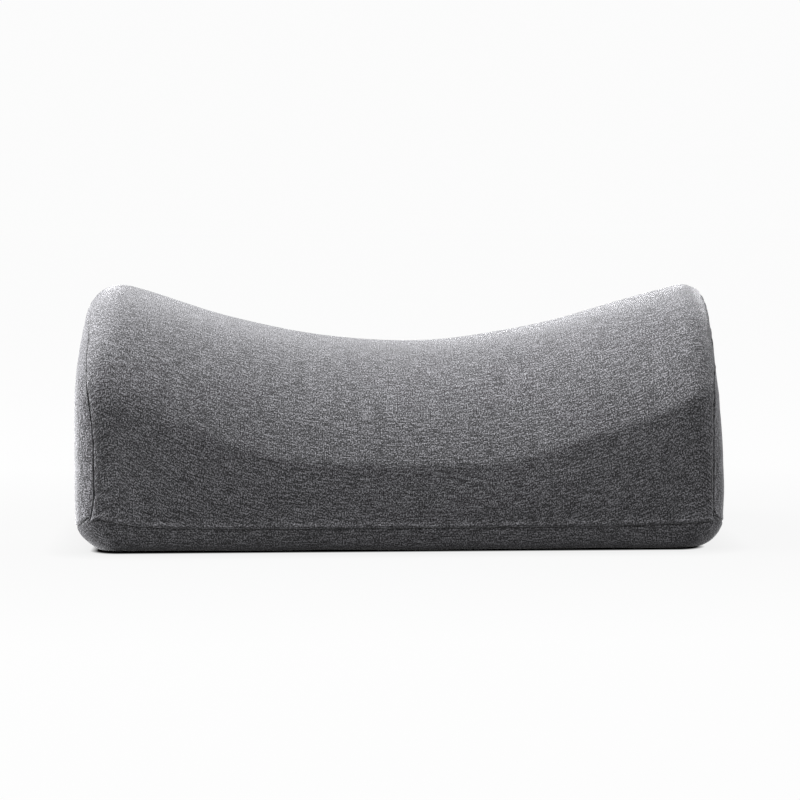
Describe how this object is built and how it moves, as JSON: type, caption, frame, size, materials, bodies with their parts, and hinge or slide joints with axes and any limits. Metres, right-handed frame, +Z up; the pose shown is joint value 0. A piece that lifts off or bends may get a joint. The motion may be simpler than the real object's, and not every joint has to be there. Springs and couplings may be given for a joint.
{
  "type": "cervical traction pillow",
  "caption": "Foam neck traction pillow with a saddle-shaped vaulted top, sewn inner liner and zipped knit cover with a flat base.",
  "frame": {"origin": "middle of the flat base, on the surface the pillow stands on", "axes": "+X along the pillow's length towards the end where the zip closes, -Y out of the front wall (the zip is in the rear wall, +Y), +Z up towards the neck"},
  "size_m": [0.32, 0.1834, 0.1279],
  "materials": {
    "core_foam": "open-cell polyurethane foam",
    "comfort_foam": "slow-recovery foam",
    "liner_jersey": "thin plain jersey",
    "cover_knit": "heather knit, brushed",
    "base_knit": "heather knit, brushed",
    "seam_thread": "spun thread",
    "zip_tape": "woven tape",
    "zip_coil": "drawn nylon coil",
    "zip_metal": "dark plated die casting",
    "label_satin": "woven satin, blank"
  },
  "bodies": {
    "pillow": {"support_core": "core_foam", "comfort_layer": "comfort_foam", "liner_wrap": "liner_jersey", "liner_end_left": "liner_jersey", "liner_end_right": "liner_jersey", "cover_wrap_panel": "cover_knit", "cover_end_left": "cover_knit", "cover_end_right": "cover_knit", "cover_base_panel": "base_knit", "end_seam_left": "seam_thread", "end_seam_right": "seam_thread", "base_seam": "seam_thread", "zip_tape_upper": "zip_tape", "zip_tape_lower": "zip_tape", "zip_coil_upper": "zip_coil", "zip_coil_lower": "zip_coil", "zip_top_stop_upper": "zip_metal", "zip_top_stop_lower": "zip_metal", "zip_bottom_stop": "zip_metal", "zip_stitch_upper": "seam_thread", "zip_stitch_lower": "seam_thread", "care_label": "label_satin"},
    "zip_slider": {"zip_slider": "zip_metal"},
    "zip_pull": {"zip_pull": "zip_metal"}
  },
  "joints": [
    {"name": "zip_slide", "type": "slide", "parent": "pillow", "child": "zip_slider", "axis": [-1, 0, 0], "range_m": [0, 0.251], "deforming": ["zip_tape_upper", "zip_tape_lower", "zip_coil_upper", "zip_coil_lower"]},
    {"name": "pull_flip", "type": "hinge", "parent": "zip_slider", "child": "zip_pull", "pos_m": [0.122, 0.0917, 0.012], "axis": [0, 0, 1], "range_deg": [0, 178]}
  ]
}
